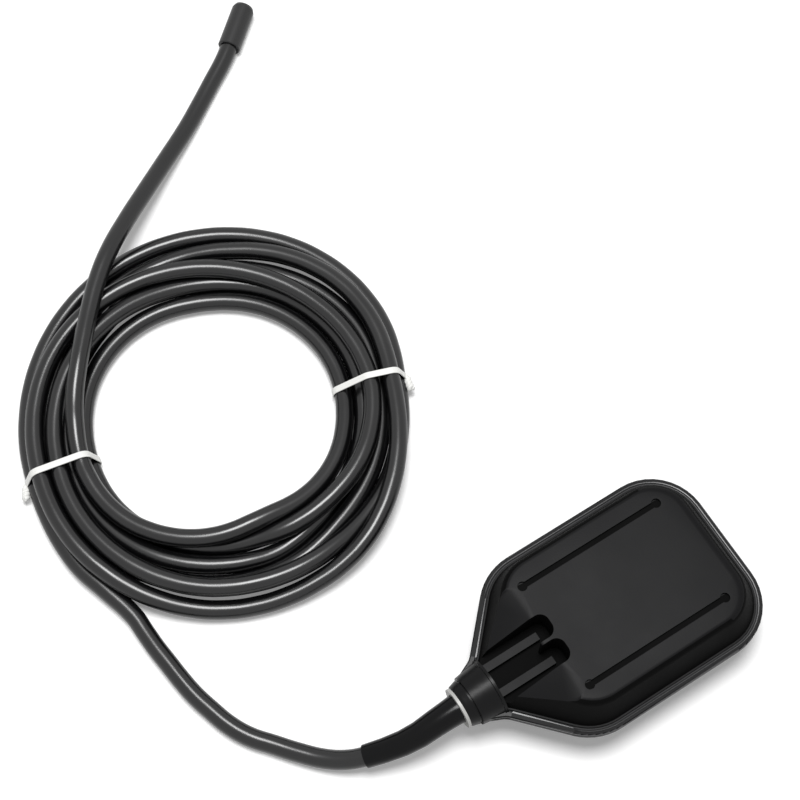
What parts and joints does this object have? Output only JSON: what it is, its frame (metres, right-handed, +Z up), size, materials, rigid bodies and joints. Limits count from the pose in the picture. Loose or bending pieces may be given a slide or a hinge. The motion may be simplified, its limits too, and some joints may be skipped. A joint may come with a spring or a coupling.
{
  "type": "cable float switch",
  "caption": "Black cable float switch: a sealed flat float body on a coiled, tied cable, with a rolling steel ball inside that works a lever switch.",
  "frame": {"origin": "centre of the float's bounding box at its resting face, without the cable", "axes": "+X from the cable neck to the far end, +Y across the float, +Z up from the lower flat panel to the upper one"},
  "size_m": [0.2341, 0.3833, 0.0415],
  "materials": {
    "shell_plastic": "satin black moulded polypropylene",
    "washer_plastic": "satin light grey",
    "boot_rubber": "satin black",
    "seal_rubber": "matte dark grey",
    "cable_sheath": "satin black",
    "tie_plastic": "satin white",
    "capsule_plastic": "satin ivory",
    "channel_plastic": "satin natural",
    "ball_steel": "polished",
    "screw_steel": "bright zinc",
    "switch_plastic": "dark grey",
    "plunger_plastic": "red",
    "terminal_brass": "bright",
    "wire_brown": "brown insulation",
    "wire_blue": "blue insulation",
    "wire_black": "black insulation"
  },
  "bodies": {
    "float": {"upper_shell": "shell_plastic", "lower_shell": "shell_plastic", "gland_washer": "washer_plastic", "cable_seal": "seal_rubber", "boot": "boot_rubber", "capsule_base": "capsule_plastic", "capsule_gasket": "seal_rubber", "capsule_cover": "capsule_plastic", "cover_screw_1": "screw_steel", "cover_screw_2": "screw_steel", "cover_screw_3": "screw_steel", "cover_screw_4": "screw_steel", "cable_clamp": "channel_plastic", "clamp_screw_1": "screw_steel", "clamp_screw_2": "screw_steel", "ball_channel": "channel_plastic", "switch_case": "switch_plastic", "lever_pin": "screw_steel", "terminal_common": "terminal_brass", "terminal_open": "terminal_brass", "terminal_closed": "terminal_brass", "wire_brown": "wire_brown", "wire_blue": "wire_blue", "wire_black": "wire_black", "cable_inside": "cable_sheath", "cable_lead": "cable_sheath", "cable_coil": "cable_sheath", "cable_tail": "cable_sheath", "end_cap": "boot_rubber", "tie_left": "tie_plastic", "tie_right": "tie_plastic"},
    "ball": {"steel_ball": "ball_steel"},
    "lever": {"switch_lever": "screw_steel"},
    "plunger": {"switch_plunger": "plunger_plastic"}
  },
  "joints": [
    {"name": "ball_roll", "type": "slide", "parent": "float", "child": "ball", "axis": [0.9976, 0, 0.0698], "range_m": [0, 0.015]},
    {"name": "lever_swing", "type": "hinge", "parent": "float", "child": "lever", "pos_m": [0.02705, 0.0124, 0.01885], "axis": [0, 0, 1], "range_deg": [0, 8]},
    {"name": "plunger_press", "type": "slide", "parent": "float", "child": "plunger", "axis": [1, 0, 0], "range_m": [0, 0.001]}
  ],
  "couplings": [
    {"joint": "lever_swing", "follows": "ball_roll", "rad_per_m": 9.308},
    {"joint": "plunger_press", "follows": "ball_roll", "ratio": 0.0664}
  ]
}
